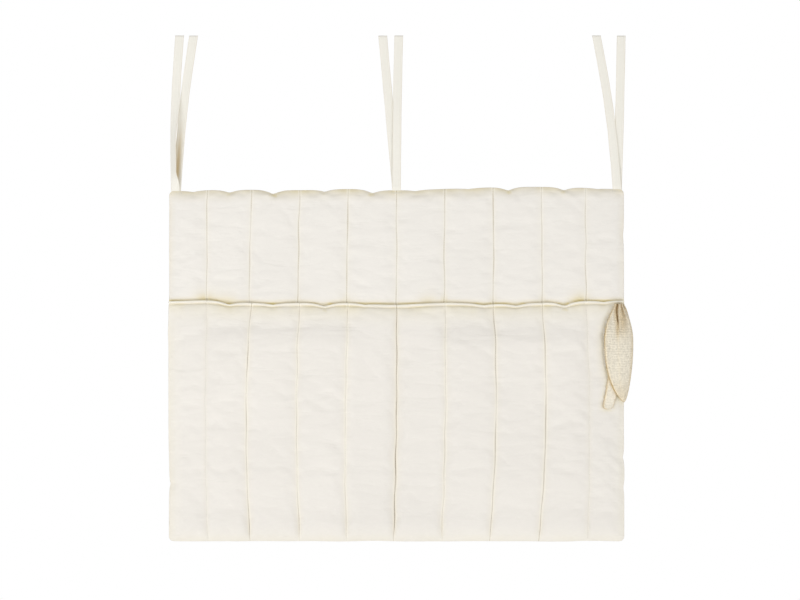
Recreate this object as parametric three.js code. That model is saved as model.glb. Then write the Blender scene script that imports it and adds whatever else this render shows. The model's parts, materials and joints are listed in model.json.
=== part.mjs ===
import * as THREE from "three";

// Quilted crib organizer: a padded back panel that hangs by three pairs of ties, with a padded pocket
// panel sewn on its lower part and a folded tail at the pocket's right mouth corner.
// Millimetres. +X runs to the right as seen from the front, -Y is the front and +Z is up.
// The origin is the middle of the back panel's top edge, halfway through its thickness.

// Panels
const panelWidth = 600;
const panelHeight = 463;
const pocketHeight = 315;
const cornerRadius = 7;

// Quilting channels: seams at an even pitch from the middle, and one seam near each side edge
const channelPitch = 64;
const sideChannel = 50;
const leastChannel = 32;

// Shares of a channel's width where its curve is drawn. The flat crown starts at the third one.
const channelSteps = [0, 0.14, 0.34, 0.66, 0.86];

// Padding. The roundness bends the shoulders of the channels and edges: 1 is a plain sine.
const clothThickness = 0.8;
const waddingAtSeam = 0.8;
const layerGap = 0.3;
const crownThickness = 8;
const edgeRoll = 20;
const edgeStep = 6;
const roundness = 0.75;

// Dips of the top edge and of the pocket's mouth between two seams
const scallop = 3.5;
const scallopReach = 40;

// Pocket: clear depth behind it, and how far from its sewn edges it reaches that depth
const pocketRoom = 6.5;
const sideRise = 80;
const bottomRise = 90;

// Sewing thread
const threadWidth = 0.8;
const threadThickness = 0.6;

// Ties. Offset, lean and bow are sideways, in millimetres; the twist is in degrees.
const tieWidth = 10.5;
const tieThickness = 1.2;
const tieLength = 200;
const tieInset = 10;
const pairGap = 0.8;
const tieSteps = 16;
const twistShare = 0.75;
const twistEase = 0.8;
const tiePairs = [
  {
    side: "left",
    across: -1,
    front: { offset: 0, lean: 4.4, bow: -2.6, twist: 0 },
    rear: { offset: 5, lean: 15, bow: 0, twist: -70 },
  },
  {
    side: "centre",
    across: 0,
    front: { offset: 0, lean: 2.6, bow: -1, twist: 0 },
    rear: { offset: 0, lean: -17.5, bow: 0, twist: 0 },
  },
  {
    side: "right",
    across: 1,
    front: { offset: 0, lean: -27.4, bow: 2.5, twist: 0 },
    rear: { offset: 0, lean: 5, bow: 0, twist: 0 },
  },
];

// Bar tacks at the ties
const tackHeight = 1.2;
const tackThickness = 1.2;
const tackOverhang = 0.5;

// Tail at the pocket's right mouth corner
const tailInset = 6;
const tailDrop = 4;
const tailThickness = 1.2;
const tailNeck = 8;
const tailTackHeight = 3;
const tailTackThickness = 1.2;
const tailClearance = 1.5;
const tailShoulder = 40;
const leafRows = 10;
const leafColumns = [-1, -0.6, -0.25, 0, 0.25, 0.6, 1];
const leafSpacing = 4;
const frontLeaf = { length: 128, width: 38, tip: 2.5, shift: 11.6, shiftPower: 4, camber: 3.5, pleat: 1.5 };
const rearLeaf = { length: 138, width: 20, tip: 11, shift: -17, shiftPower: 1.5, camber: 1, pleat: 0 };
const leafFullest = 0.43;
const leafRoundness = 0.85;
const pleatShare = 0.3;
const pleatWidth = 0.3;

// Sizes that follow from the ones above
const halfWidth = panelWidth / 2;
const mouthDrop = panelHeight - pocketHeight;
const crownShare = channelSteps[2];
const crownHalf = crownThickness / 2;
const seamHalf = clothThickness + layerGap + waddingAtSeam / 2;
const edgeHalf = clothThickness + layerGap / 2;
const seamRoom = threadThickness + 2 * layerGap;
const cornerCut = cornerRadius * (1 - Math.SQRT1_2);

const { lerp, degToRad, smoothstep } = THREE.MathUtils;
const smooth = (share) => smoothstep(share, 0, 1);
const swell = (share) => Math.sin((Math.PI / 2) * Math.min(1, Math.max(0, share))) ** roundness;

// Quilting seams from left to right
function seamPlaces() {
  const outer = halfWidth - sideChannel;
  const evenSeams = Math.floor((outer - leastChannel) / channelPitch);
  const right = Array.from({ length: evenSeams }, (_, k) => (k + 1) * channelPitch);
  right.push(outer);
  return [...right.map((x) => -x).reverse(), 0, ...right];
}

const seams = seamPlaces();
const channelEdges = [-halfWidth, ...seams, halfWidth];

// A column is a place across the panel, with how full its channel is there
function columnAt(x) {
  const next = channelEdges.findIndex((edge, k) => k > 0 && edge >= x);
  const left = channelEdges[next - 1];
  const share = (x - left) / (channelEdges[next] - left);
  const fullness = swell(Math.min(share, 1 - share) / crownShare);
  return { x, fullness, sideDistance: halfWidth - Math.abs(x) };
}

function panelColumns() {
  const columns = [];
  for (let c = 0; c + 1 < channelEdges.length; c += 1) {
    for (const step of channelSteps) {
      columns.push(columnAt(lerp(channelEdges[c], channelEdges[c + 1], step)));
    }
  }
  columns.push(columnAt(halfWidth));
  return columns;
}

const columns = panelColumns();

// A panel's rows are drops below the back panel's top edge
const backPanel = {
  top: 0,
  drops: [0, edgeStep, edgeRoll, panelHeight - edgeRoll, panelHeight - edgeStep, panelHeight],
};
const pocketPanel = {
  top: mouthDrop,
  drops: [
    mouthDrop,
    mouthDrop + edgeStep,
    mouthDrop + edgeRoll,
    panelHeight - bottomRise,
    panelHeight - (bottomRise + edgeRoll) / 2,
    panelHeight - edgeRoll,
    panelHeight - edgeStep,
    panelHeight,
  ],
};

// Half of a padded panel's thickness, by how far the place is from the panel's top or bottom edge
function padding(column, endDistance) {
  const endSwell = swell(endDistance / edgeRoll);
  const closing = swell(column.sideDistance / edgeRoll) * endSwell;
  const crown = (crownHalf - seamHalf) * column.fullness * endSwell;
  return edgeHalf + (seamHalf - edgeHalf) * closing + crown;
}

// Depths are distances in front of the back panel's middle plane
function backHalf(column, drop) {
  return padding(column, Math.min(drop, panelHeight - drop));
}

function pocketHalf(column, drop) {
  return padding(column, Math.min(drop - mouthDrop, panelHeight - drop));
}

function pocketRear(column, drop) {
  const across = smooth(column.sideDistance / sideRise) * smooth(Math.abs(column.x) / sideRise);
  const open = across * smooth((panelHeight - drop) / bottomRise);
  const middle = lerp(2 * edgeHalf + seamRoom, 2 * crownHalf + pocketRoom, open);
  return Math.max(middle - pocketHalf(column, drop), backHalf(column, drop) + seamRoom);
}

function pocketFront(column, drop) {
  return pocketRear(column, drop) + 2 * pocketHalf(column, drop);
}

// A point of a panel, with the dips of its top edge and its rounded corners
function place(panel, column, drop, depth) {
  const dip = scallop * column.fullness * Math.max(0, 1 - (drop - panel.top) / scallopReach);
  const atEnd = drop === 0 || drop === panelHeight;
  const cut = atEnd && column.sideDistance === 0 ? cornerCut : 0;
  const x = column.x - Math.sign(column.x) * cut;
  const z = -drop - dip + (drop === 0 ? -cut : cut);
  return new THREE.Vector3(x, -depth, z);
}

// A closed sheet between a front and a rear grid of points. Rows run down, columns to the right.
function sheet(front, rear) {
  const rows = front.length;
  const across = front[0].length;
  const behind = rows * across;
  const at = (row, column) => row * across + column;
  const index = [];
  const quad = (a, b, c, d) => index.push(a, b, c, a, c, d);
  for (let r = 0; r + 1 < rows; r += 1) {
    for (let c = 0; c + 1 < across; c += 1) {
      const topLeft = at(r, c);
      const topRight = at(r, c + 1);
      const lowLeft = at(r + 1, c);
      const lowRight = at(r + 1, c + 1);
      quad(lowLeft, lowRight, topRight, topLeft);
      quad(lowLeft + behind, topLeft + behind, topRight + behind, lowRight + behind);
    }
  }
  const border = [];
  for (let c = 0; c < across; c += 1) border.push(at(rows - 1, c));
  for (let r = rows - 2; r >= 0; r -= 1) border.push(at(r, across - 1));
  for (let c = across - 2; c >= 0; c -= 1) border.push(at(0, c));
  for (let r = 1; r < rows - 1; r += 1) border.push(at(r, 0));
  border.forEach((here, k) => {
    const next = border[(k + 1) % border.length];
    quad(next, here, here + behind, next + behind);
  });
  return surface([...front.flat(), ...rear.flat()], index);
}

// A closed body through rings of points that run anticlockwise as seen from the last ring's side.
// Facing sides are split along the same diagonal, so a twisted strip keeps its thickness.
function loft(rings) {
  const sides = rings[0].length;
  const last = (rings.length - 1) * sides;
  const index = [];
  for (let low = 0; low < last; low += sides) {
    for (let s = 0; s < sides; s += 1) {
      const here = low + s;
      const next = low + ((s + 1) % sides);
      const up = here + sides;
      const nextUp = next + sides;
      if (2 * s < sides) index.push(here, next, up, next, nextUp, up);
      else index.push(here, next, nextUp, here, nextUp, up);
    }
  }
  for (let s = 1; s + 1 < sides; s += 1) {
    index.push(0, s + 1, s, last, last + s, last + s + 1);
  }
  return surface(rings.flat(), index);
}

function surface(points, index) {
  const geometry = new THREE.BufferGeometry().setFromPoints(points);
  geometry.setIndex(index);
  geometry.computeVertexNormals();
  return geometry;
}

// One layer of a panel. The inset leaves out that many rows and columns along every edge.
function layer(panel, frontDepth, rearDepth, inset) {
  const across = columns.slice(inset, columns.length - inset);
  const down = panel.drops.slice(inset, panel.drops.length - inset);
  const row = (drop, depth) => across.map((column) => place(panel, column, drop, depth(column, drop)));
  const grid = (depth) => down.map((drop) => row(drop, depth));
  return sheet(grid(frontDepth), grid(rearDepth));
}

// A thread that lies on a surface along one quilting seam, through the given drops
function seamThread(drops, x, seat) {
  const column = columnAt(x);
  const ends = [x - threadWidth / 2, x + threadWidth / 2];
  const point = (end, drop, lift) => new THREE.Vector3(end, -(seat(column, drop) + lift), -drop);
  const grid = (lift) => drops.map((drop) => ends.map((end) => point(end, drop, lift)));
  return sheet(grid(layerGap + threadThickness), grid(layerGap));
}

// The thread between the two panels along a side edge. The inner column is the edge's neighbour.
function sideEdgeThread(edge, inner) {
  const step = Math.sign(inner.x - edge.x) * threadWidth;
  const share = step / (inner.x - edge.x);
  const drops = pocketPanel.drops.slice(1, -1);
  const row = (drop, lift) => {
    const outerSeat = backHalf(edge, drop);
    const innerSeat = lerp(outerSeat, backHalf(inner, drop), share);
    const points = [
      new THREE.Vector3(edge.x, -(outerSeat + lift), -drop),
      new THREE.Vector3(edge.x + step, -(innerSeat + lift), -drop),
    ];
    return points.sort((a, b) => a.x - b.x);
  };
  const grid = (lift) => drops.map((drop) => row(drop, lift));
  return sheet(grid(layerGap + threadThickness), grid(layerGap));
}

// The thread between the two panels along the bottom edge
function bottomEdgeThread() {
  const across = columns.slice(1, -1);
  const lowSeat = (column) => backHalf(column, panelHeight);
  const nextSeat = (column) => backHalf(column, panelHeight - edgeStep);
  const highSeat = (column) => lerp(lowSeat(column), nextSeat(column), threadWidth / edgeStep);
  const row = (seat, drop, lift) =>
    across.map((column) => new THREE.Vector3(column.x, -(seat(column) + lift), -drop));
  const grid = (lift) => [
    row(highSeat, panelHeight - threadWidth, lift),
    row(lowSeat, panelHeight, lift),
  ];
  return sheet(grid(layerGap + threadThickness), grid(layerGap));
}

// A tie from its rounded sewn end, which turns about the local origin, up to its square end
function tieStrip({ lean, bow, twist }) {
  const radius = tieThickness / 2;
  const ring = (x, z, half, turn) => {
    const corners = [[-1, -1], [1, -1], [1, 1], [-1, 1]];
    return corners.map(([u, v]) => {
      const across = (u * tieWidth) / 2;
      const through = v * half;
      const px = x + across * Math.cos(turn) - through * Math.sin(turn);
      const py = across * Math.sin(turn) + through * Math.cos(turn);
      return new THREE.Vector3(px, py, z);
    });
  };
  const roundEnd = [-67.5, -22.5].map((angle) => {
    const turn = degToRad(angle);
    return ring(0, radius * Math.sin(turn), radius * Math.cos(turn), 0);
  });
  const strip = Array.from({ length: tieSteps + 1 }, (_, k) => {
    const share = k / tieSteps;
    const x = lean * share + bow * Math.sin(Math.PI * share);
    const turned = Math.sin(Math.PI * Math.min(1, share / twistShare) ** twistEase);
    return ring(x, tieLength * share, radius, degToRad(twist) * turned);
  });
  return loft([...roundEnd, ...strip]);
}

// A leaf of the tail. It hangs from the local origin and comes forward by hang below its neck.
function tailLeaf({ length, width, tip, shift, shiftPower, camber, pleat }, hang) {
  const point = (share, side, lift) => {
    const belly = Math.max(0, Math.sin(Math.PI * share ** (Math.log(0.5) / Math.log(leafFullest))));
    const half = lerp(tailNeck, tip, share) / 2 + ((width - tailNeck) / 2) * belly ** leafRoundness;
    const forward = hang * smooth((share * length) / tailShoulder) + camber * belly * (1 - side * side);
    const folded = share < pleatShare ? Math.sin((Math.PI * share) / pleatShare) : 0;
    const fold = pleat * folded * Math.max(0, 1 - Math.abs(side) / pleatWidth);
    const x = shift * share ** shiftPower + side * half;
    return new THREE.Vector3(x, -(forward - fold + lift), -share * length);
  };
  const shares = Array.from({ length: leafRows + 1 }, (_, k) => k / leafRows);
  const grid = (lift) => shares.map((share) => leafColumns.map((side) => point(share, side, lift)));
  return sheet(grid(tailThickness / 2), grid(-tailThickness / 2));
}

function cotton(colour, roughness) {
  return new THREE.MeshStandardMaterial({ color: colour, roughness, metalness: 0 });
}

const finishes = {
  panelCloth: () => cotton(0xf0ece4, 0.9),
  pocketCloth: () => cotton(0xefeae0, 0.9),
  wadding: () => cotton(0xf8f6f1, 1),
  thread: () => cotton(0xd8ccb4, 0.8),
  tieCloth: () => cotton(0xf0ece3, 0.9),
  tailCloth: () => cotton(0xe3dac6, 0.95),
};

function addPiece(group, name, geometry, material) {
  const mesh = new THREE.Mesh(geometry, material);
  mesh.name = name;
  group.add(mesh);
  return mesh;
}

function backPanelPieces() {
  const group = new THREE.Group();
  const inner = (column, drop) => backHalf(column, drop) - clothThickness;
  const filling = (column, drop) => inner(column, drop) - layerGap;
  const mirrored = (depth) => (column, drop) => -depth(column, drop);
  addPiece(group, "back_face", layer(backPanel, backHalf, inner, 0), finishes.panelCloth());
  addPiece(group, "back_wadding", layer(backPanel, filling, mirrored(filling), 1), finishes.wadding());
  const lining = layer(backPanel, mirrored(inner), mirrored(backHalf), 0);
  addPiece(group, "back_lining", lining, finishes.panelCloth());
  const fullDrops = backPanel.drops.slice(1, -1);
  const aboveMouth = [...fullDrops.filter((drop) => drop < mouthDrop), mouthDrop];
  seams.forEach((x, k) => {
    const thread = seamThread(x === 0 ? aboveMouth : fullDrops, x, backHalf);
    addPiece(group, `back_quilting_${k + 1}`, thread, finishes.thread());
  });
  return group;
}

function pocketPieces() {
  const group = new THREE.Group();
  const outside = (column, drop) => pocketFront(column, drop) - clothThickness;
  const inside = (column, drop) => pocketRear(column, drop) + clothThickness;
  const outerFill = (column, drop) => outside(column, drop) - layerGap;
  const innerFill = (column, drop) => inside(column, drop) + layerGap;
  addPiece(group, "pocket_face", layer(pocketPanel, pocketFront, outside, 0), finishes.pocketCloth());
  addPiece(group, "pocket_wadding", layer(pocketPanel, outerFill, innerFill, 1), finishes.wadding());
  addPiece(group, "pocket_lining", layer(pocketPanel, inside, pocketRear, 0), finishes.pocketCloth());
  const drops = pocketPanel.drops.slice(1, -1);
  seams.forEach((x, k) => {
    const thread = seamThread(drops, x, pocketFront);
    addPiece(group, `pocket_quilting_${k + 1}`, thread, finishes.thread());
  });
  const leftThread = sideEdgeThread(columns.at(0), columns.at(1));
  const rightThread = sideEdgeThread(columns.at(-1), columns.at(-2));
  addPiece(group, "pocket_seam_left", leftThread, finishes.thread());
  addPiece(group, "pocket_seam_right", rightThread, finishes.thread());
  addPiece(group, "pocket_seam_bottom", bottomEdgeThread(), finishes.thread());
  addPiece(group, "pocket_seam_divider", seamThread(drops, 0, backHalf), finishes.thread());
  return group;
}

// The highest point of the back panel's top edge between two places across it
function topEdgeUnder(left, right) {
  const reach = channelPitch * channelSteps[1];
  const under = columns.filter((column) => column.x > left - reach && column.x < right + reach);
  return Math.max(...under.map((column) => place(backPanel, column, 0, 0).z));
}

function tiePieces() {
  const group = new THREE.Group();
  const fromMiddle = (tieThickness + pairGap) / 2;
  const hingeHeight = tackHeight + layerGap + tieThickness / 2;
  for (const { side, across, front, rear } of tiePairs) {
    const pair = new THREE.Group();
    const left = Math.min(front.offset, rear.offset) - tieWidth / 2 - tackOverhang;
    const right = Math.max(front.offset, rear.offset) + tieWidth / 2 + tackOverhang;
    const x = across * (halfWidth - tieInset);
    pair.position.set(x, 0, topEdgeUnder(x + left, x + right) + layerGap);
    const tack = new THREE.BoxGeometry(right - left, tackThickness, tackHeight);
    const tackPiece = addPiece(pair, `tie_tack_${side}`, tack, finishes.thread());
    tackPiece.position.set((left + right) / 2, 0, tackHeight / 2);
    const frontTie = addPiece(pair, `tie_${side}_front`, tieStrip(front), finishes.tieCloth());
    frontTie.position.set(front.offset, -fromMiddle, hingeHeight);
    const rearTie = addPiece(pair, `tie_${side}_rear`, tieStrip(rear), finishes.tieCloth());
    rearTie.position.set(rear.offset, fromMiddle, hingeHeight);
    group.add(pair);
  }
  return group;
}

function tailPieces() {
  const group = new THREE.Group();
  const neckX = halfWidth - tailInset;
  const neckEdges = [neckX - tailNeck / 2, neckX, Math.min(halfWidth, neckX + tailNeck / 2)];
  const tackBottom = mouthDrop + tailDrop + tailTackHeight;
  const seat = Math.max(...neckEdges.map((x) => pocketFront(columnAt(x), tackBottom)));
  const tackFront = seat + layerGap + tailTackThickness;
  const tack = new THREE.BoxGeometry(tailNeck, tailTackThickness, tailTackHeight);
  const tackPiece = addPiece(group, "tail_tack", tack, finishes.thread());
  tackPiece.position.set(neckX, tailTackThickness / 2 - tackFront, tailTackHeight / 2 - tackBottom);

  const beneath = columns.filter((column) => column.x > neckX - frontLeaf.width);
  const bedDepths = beneath.flatMap((column) => pocketPanel.drops.map((drop) => pocketFront(column, drop)));
  const rearDepth = tackFront + layerGap + tailThickness / 2;
  const rearHang = Math.max(...bedDepths) + tailClearance + tailThickness / 2 - rearDepth;
  const frontDepth = rearDepth + tailThickness + layerGap;
  const neckDrop = mouthDrop + tailDrop;
  const rearPiece = addPiece(group, "tail_rear", tailLeaf(rearLeaf, rearHang), finishes.tailCloth());
  rearPiece.position.set(neckX, -rearDepth, -neckDrop);
  const frontHang = rearHang + leafSpacing;
  const frontPiece = addPiece(group, "tail_front", tailLeaf(frontLeaf, frontHang), finishes.tailCloth());
  frontPiece.position.set(neckX, -frontDepth, -neckDrop);
  return group;
}

const organizer = new THREE.Group();
organizer.add(backPanelPieces(), pocketPieces(), tiePieces(), tailPieces());

export default organizer;
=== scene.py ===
import json
import math
import bpy
import numpy as np
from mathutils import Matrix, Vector
from mathutils.bvhtree import BVHTree


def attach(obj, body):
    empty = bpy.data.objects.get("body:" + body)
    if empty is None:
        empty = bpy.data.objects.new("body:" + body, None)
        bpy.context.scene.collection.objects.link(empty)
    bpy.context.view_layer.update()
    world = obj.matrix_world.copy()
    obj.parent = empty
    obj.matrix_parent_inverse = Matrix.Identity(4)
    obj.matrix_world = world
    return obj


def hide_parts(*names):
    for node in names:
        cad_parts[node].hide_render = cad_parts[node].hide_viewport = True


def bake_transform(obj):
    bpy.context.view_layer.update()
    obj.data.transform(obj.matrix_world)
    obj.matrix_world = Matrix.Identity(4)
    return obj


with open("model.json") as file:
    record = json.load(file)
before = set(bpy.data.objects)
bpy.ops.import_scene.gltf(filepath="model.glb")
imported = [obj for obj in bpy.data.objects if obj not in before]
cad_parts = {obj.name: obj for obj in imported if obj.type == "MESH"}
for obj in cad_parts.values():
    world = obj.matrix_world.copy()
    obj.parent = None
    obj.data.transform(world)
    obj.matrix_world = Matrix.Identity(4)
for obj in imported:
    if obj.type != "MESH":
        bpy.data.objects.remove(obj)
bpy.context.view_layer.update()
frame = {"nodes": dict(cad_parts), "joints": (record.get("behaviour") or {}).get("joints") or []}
scene = bpy.context.scene
scene.view_settings.view_transform = "Standard"
hinges = {joint["name"]: np.array(joint["pos_m"]) for joint in frame["joints"]}
print("frame loaded with", len(frame["nodes"]), "nodes")


# finishes: colours are 0-255 screen tones, widths in metres
# edge gives the share of painted shade at some distances from the hem, roll the share of painted highlight
panelCotton = {
    "colour": (241, 237, 230), "sunk": (184, 168, 132), "warm": (222, 200, 108), "raised": (249, 245, 234),
    "seed": 1.7, "weave": 0.00065, "weaveDepth": 0.00007, "crepe": 0.008, "grain": (260.0, 620.0),
    "wrinkle": 0.0034, "wrinkleSlant": 24, "lineWidth": 0.0013, "lineTint": 0.55, "seamWarm": 0.03,
    "edge": [(0, 0.36), (0.0013, 0.36), (0.0026, 0.29), (0.004, 0.22), (0.008, 0.11), (0.0125, 0.04),
             (0.017, 0)],
    "roll": [(0, 0), (0.017, 0)],
}
pocketCotton = {
    "colour": (239.5, 235, 227.5), "sunk": (166, 150, 118), "warm": (222, 203, 118),
    "raised": (254, 249, 234), "seed": 6.3, "weave": 0.00065, "weaveDepth": 0.00007, "crepe": 0.008,
    "grain": (260.0, 620.0), "wrinkle": 0.0034, "wrinkleSlant": -28, "lineWidth": 0.0013,
    "lineTint": 0.58, "seamWarm": 0.05,
    # painted shade in the ditch below the mouth's roll, fading down the pocket; painted highlight on the roll
    # and a faint one lower down
    "edge": [(0, 0), (0.0011, 0), (0.0021, 0.41), (0.0034, 0.4), (0.005, 0.28), (0.0095, 0.2), (0.016, 0.08),
             (0.024, 0)],
    "roll": [(0, 0.85), (0.0008, 0.85), (0.0015, 0), (0.005, 0), (0.009, 0.25), (0.02, 0.25), (0.035, 0)],
}
tieCotton = {
    "colour": (243, 240, 230), "sunk": (208, 198, 176), "warm": (204, 178, 126), "raised": (247, 244, 236),
    "seed": 11.1, "weave": 0.00065, "weaveDepth": 0.00007, "crepe": 0.008, "grain": (260.0, 620.0),
    "wrinkle": 0.0006, "wrinkleSlant": 70, "lineWidth": 0.0006, "lineTint": 0.22, "seamWarm": 0.0,
    "edge": [(0, 0.16), (0.0006, 0.08), (0.002, 0)], "roll": [(0, 0), (0.002, 0)],
}
tailCotton = {
    "colour": (233, 225, 207), "sunk": (150, 120, 74), "warm": (196, 170, 120), "raised": (243, 229, 201),
    "seed": 3.9, "weave": 0.0012, "weaveDepth": 0.0003, "crepe": 0.13, "grain": (430.0, 270.0),
    "wrinkle": 0.0011, "wrinkleSlant": 84, "lineWidth": 0.0024, "lineTint": 0.8, "seamWarm": 0.0,
    # painted shade along the leaf's outline, painted highlight on its left hem
    "edge": [(0, 0.95), (0.0008, 0.9), (0.0012, 0), (0.0022, 0), (0.003, 0.12), (0.005, 0)],
    "roll": [(0, 0), (0.0008, 0), (0.0013, 0.9), (0.002, 0.8), (0.0028, 0), (0.005, 0)],
}
rearTailCotton = {**tailCotton, "colour": (241, 233, 216), "seed": 8.8, "crepe": 0.1}
# what all the cottons share, some of it in line widths or thread spacings
cotton = {
    "mottleScale": 11.0, "mottleDetail": 4.0, "mottleRange": (0.3, 0.7), "mottleShares": (0.98, 1.012),
    "patchScale": 26.0, "patchDetail": 2.0, "patchRange": (0.35, 0.65), "patchShares": (0.45, 1.15),
    "crepeDetail": 2.0, "crepeRange": (0.3, 0.7), "warmReach": 8, "ridge": (1.3, 3), "ridgeShare": 0.7,
    "wrinkleScale": (18.0, 18.0, 64.0), "wrinkleDetail": 2.0, "wrinkleWarp": 0.6, "wrinkleStrength": 0.6,
    "threadWarp": 0.6, "threadDetail": 0.02, "warpShare": 0.8, "weaveStrength": 0.5,
    "ribSpacing": 3.1, "ribWarp": 1.4, "ribDetail": 0.01, "ribbedWeft": 0.5,
    "roughness": 0.92, "sheen": 0.12, "sheenRoughness": 0.5, "gloss": 0.2,
}
sewingThread = {
    "colour": (228, 225, 216), "strand": 0.00022, "fibreScale": 900.0, "fibreDetail": 2.0,
    "fibreShares": (0.86, 1.06), "plyStrength": 0.5, "plyDepth": 0.00005, "roughness": 0.7, "gloss": 0.3,
}


def screenTone(red, green, blue):
    shares = [value / 255 for value in (red, green, blue)]
    return tuple(((v + 0.055) / 1.055) ** 2.4 for v in shares) + (1.0,)


def addNode(tree, kind, sockets=None, **settings):
    node = tree.nodes.new(kind)
    for name, value in settings.items():
        setattr(node, name, value)
    for name, value in (sockets or {}).items():
        if isinstance(value, bpy.types.NodeSocket):
            tree.links.new(value, node.inputs[name])
        else:
            node.inputs[name].default_value = value
    return node


def fade(tree, value, width, amount):
    # the amount at zero distance, falling smoothly to nothing at the width
    sockets = {"Value": value, "From Min": 0.0, "From Max": width, "To Min": amount, "To Max": 0.0}
    return addNode(tree, "ShaderNodeMapRange", sockets, interpolation_type="SMOOTHSTEP").outputs["Result"]


def ranged(tree, value, limits, shares):
    # the values between two limits, spread from one share to the other
    sockets = {"Value": value, "From Min": limits[0], "From Max": limits[1], "To Min": shares[0],
               "To Max": shares[1]}
    return addNode(tree, "ShaderNodeMapRange", sockets).outputs["Result"]


def scaled(tree, colour, amount):
    sockets = {0: colour, "Scale": amount}
    return addNode(tree, "ShaderNodeVectorMath", sockets, operation="SCALE").outputs["Vector"]


def shareBy(tree, value, stops):
    # a curve through the given (distance, share) stops
    farthest = stops[-1][0]
    ramp = addNode(tree, "ShaderNodeValToRGB", {"Fac": combine(tree, "DIVIDE", value, farthest)})
    marks = ramp.color_ramp.elements
    marks.remove(marks[1])
    for distance, share in stops:
        mark = marks.new(distance / farthest)
        mark.color = (share, share, share, 1.0)
    marks.remove(marks[0])
    return ramp.outputs["Color"]


def combine(tree, operation, first, second):
    return addNode(tree, "ShaderNodeMath", {0: first, 1: second}, operation=operation).outputs[0]


def mixColour(tree, share, first, second):
    # sockets 0, 6 and 7 are the ones for colours
    sockets = {0: share, 6: first, 7: second}
    return addNode(tree, "ShaderNodeMix", sockets, data_type="RGBA").outputs[2]


def cloudy(tree, place, scale, detail, seed):
    sockets = {"Vector": place, "Scale": scale, "Detail": detail, "W": seed}
    return addNode(tree, "ShaderNodeTexNoise", sockets, noise_dimensions="4D").outputs["Fac"]


def bandScale(spacing):
    # the wave texture's bands are 2 pi / 20 apart at a scale of 1
    return 2 * math.pi / (20 * spacing)


def banded(tree, place, scale, warp, detail, direction):
    sockets = {"Vector": place, "Scale": scale, "Distortion": warp, "Detail Scale": detail}
    return addNode(tree, "ShaderNodeTexWave", sockets, bands_direction=direction).outputs["Fac"]


def emptyMaterial(name):
    material = bpy.data.materials.new(name)
    material.use_nodes = True
    material.node_tree.nodes.clear()
    return material, material.node_tree


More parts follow.
